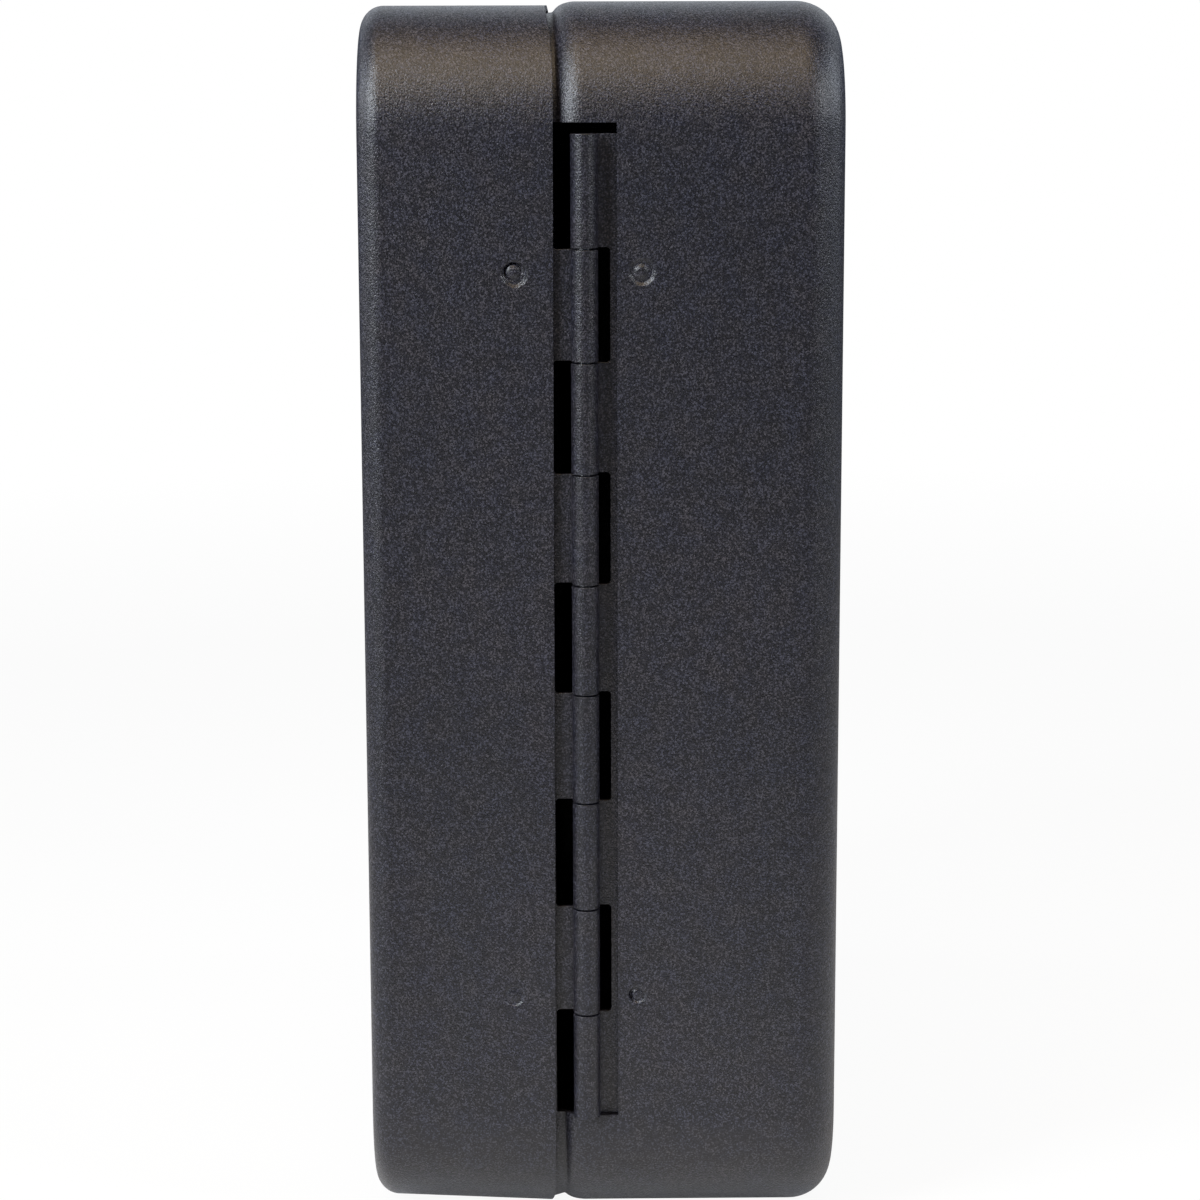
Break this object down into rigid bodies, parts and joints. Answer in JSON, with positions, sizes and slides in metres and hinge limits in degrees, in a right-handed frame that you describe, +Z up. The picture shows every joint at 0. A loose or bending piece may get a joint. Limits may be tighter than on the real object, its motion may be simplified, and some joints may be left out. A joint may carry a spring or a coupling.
{
  "type": "key cabinet",
  "caption": "Small steel wall key cabinet with rounded corners, a deep door on an exposed continuous hinge, a cam lock and strips of key hooks inside body and door.",
  "frame": {"origin": "centre of the flat back face that lies against the wall", "axes": "+Z up, along the cabinet's height; +Y out of the back, into the wall, so the door faces -Y; +X towards the hinge side"},
  "size_m": [0.1623, 0.0786, 0.2],
  "materials": {
    "painted_steel": "dark charcoal powder coat with a fine grain, satin",
    "pin_steel": "drawn steel wire",
    "lock_chrome": "polished plate",
    "plug_steel": "turned, satin",
    "zinc_plate": "zinc plated, dull",
    "label_card": "white card with plain printed numbers"
  },
  "bodies": {
    "case": {"body_shell": "painted_steel", "body_hinge_leaf": "painted_steel", "hinge_pin": "pin_steel", "lock_keeper": "painted_steel", "body_hook_strip_upper": "painted_steel", "body_hook_strip_lower": "painted_steel", "body_label_upper": "label_card", "body_label_lower": "label_card"},
    "door": {"door_shell": "painted_steel", "door_hinge_leaf": "painted_steel", "lock_barrel": "lock_chrome", "lock_washer": "zinc_plate", "lock_nut": "zinc_plate", "door_hook_strip_upper": "painted_steel", "door_hook_strip_lower": "painted_steel", "door_label_upper": "label_card", "door_label_lower": "label_card"},
    "lock_cylinder": {"lock_plug": "plug_steel", "lock_cam": "zinc_plate", "cam_washer": "zinc_plate", "cam_screw": "zinc_plate"}
  },
  "joints": [
    {"name": "door_swing", "type": "hinge", "parent": "case", "child": "door", "pos_m": [0.08015, -0.041, 0.0004], "axis": [0, 0, 1], "range_deg": [0, 175]},
    {"name": "lock_turn", "type": "hinge", "parent": "door", "child": "lock_cylinder", "pos_m": [-0.05, -0.0763, 0], "axis": [0, 1, 0], "range_deg": [0, 90]}
  ]
}
